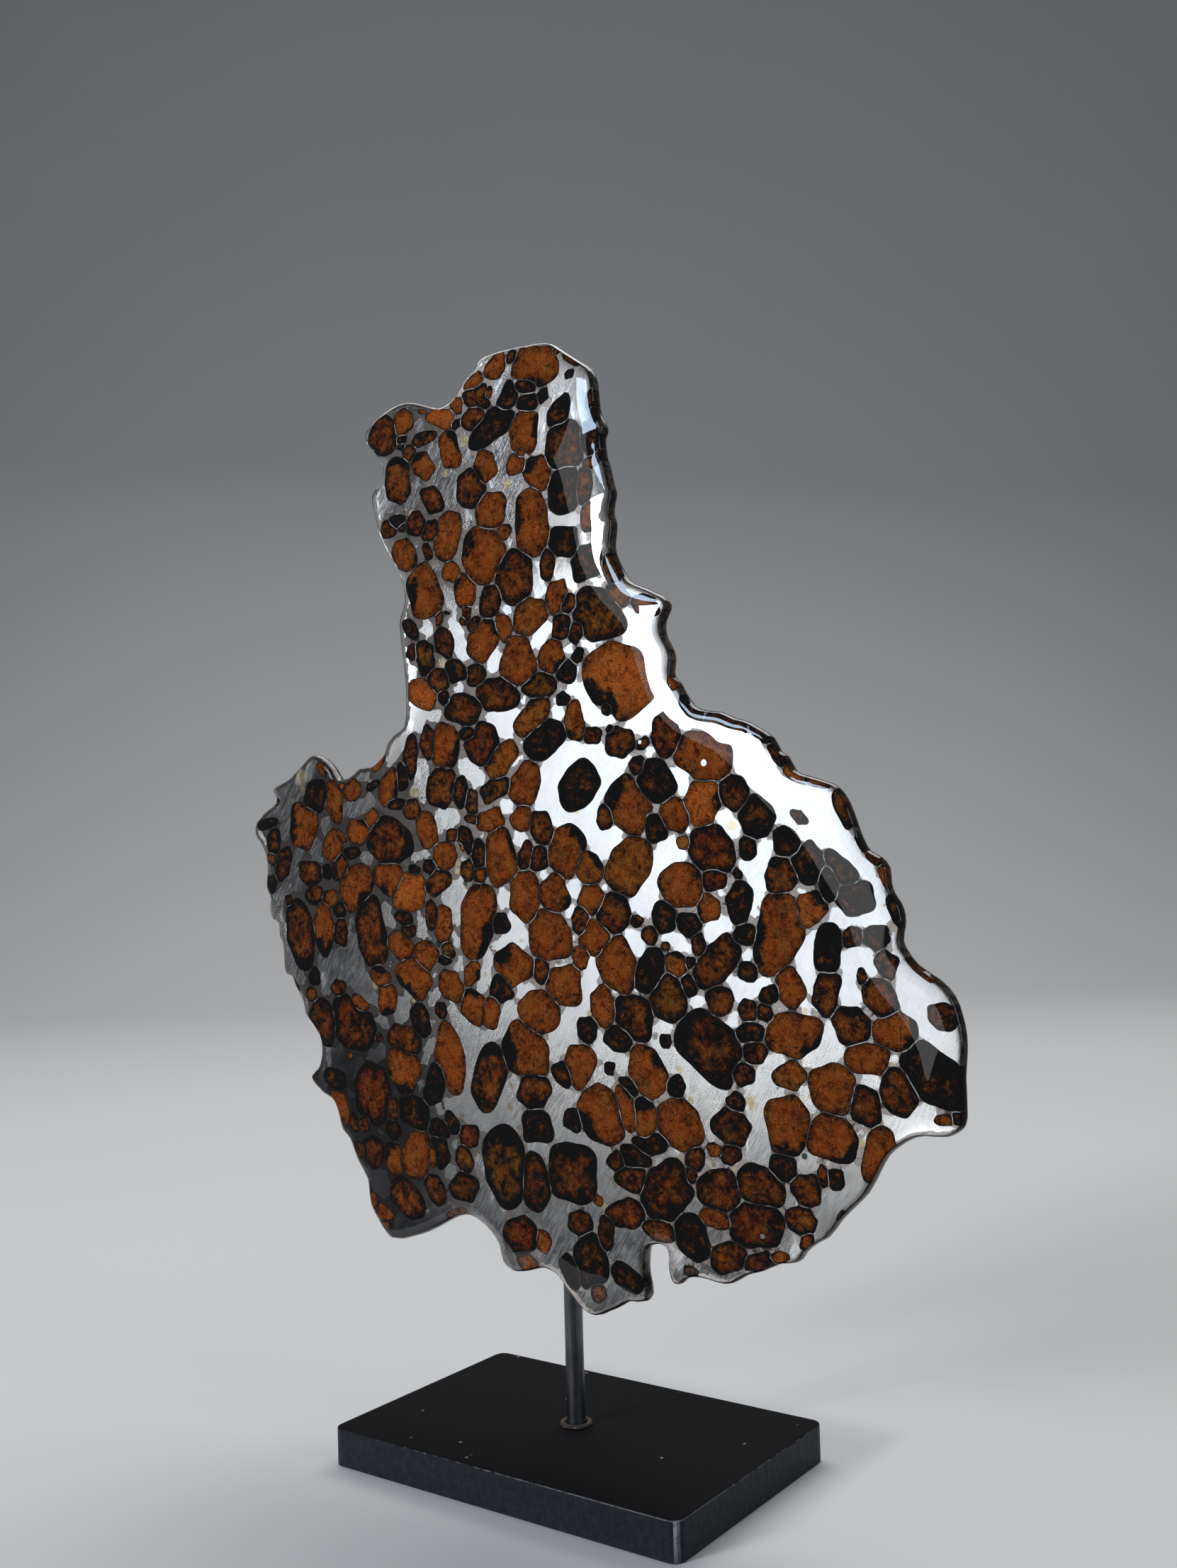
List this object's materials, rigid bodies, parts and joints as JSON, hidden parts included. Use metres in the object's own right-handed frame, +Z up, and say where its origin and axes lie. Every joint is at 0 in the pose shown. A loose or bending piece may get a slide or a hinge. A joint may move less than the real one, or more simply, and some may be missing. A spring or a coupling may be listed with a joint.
{
  "type": "pallasite meteorite slice on stand",
  "caption": "Thin polished stony-iron slice with olivine crystals, sealed in clear resin, held upright on a steel rod over a heavy rectangular plate.",
  "frame": {"origin": "centre of the plate's underside", "axes": "+Z up, +X along the plate's long side, the slice's polished front faces -Y"},
  "size_m": [0.2054, 0.0656, 0.2725],
  "materials": {
    "meteorite_metal": "polished, fine diagonal brushing",
    "olivine": "polished crystal, cracked and mottled",
    "clear_resin": "clear, high gloss, domed at the rim",
    "rod_steel": "dark satin, drawn",
    "disc_steel": "satin",
    "plate_paint": "satin black over rough-cut sides, edges worn bright",
    "bead_glue": "dull brown bead with small glints"
  },
  "bodies": {
    "root": {"slice": "meteorite_metal", "resin_front": "clear_resin", "resin_back": "clear_resin", "rod": "rod_steel", "mount_disc": "disc_steel", "base_plate": "plate_paint", "foot_bead": "bead_glue"}
  },
  "joints": []
}
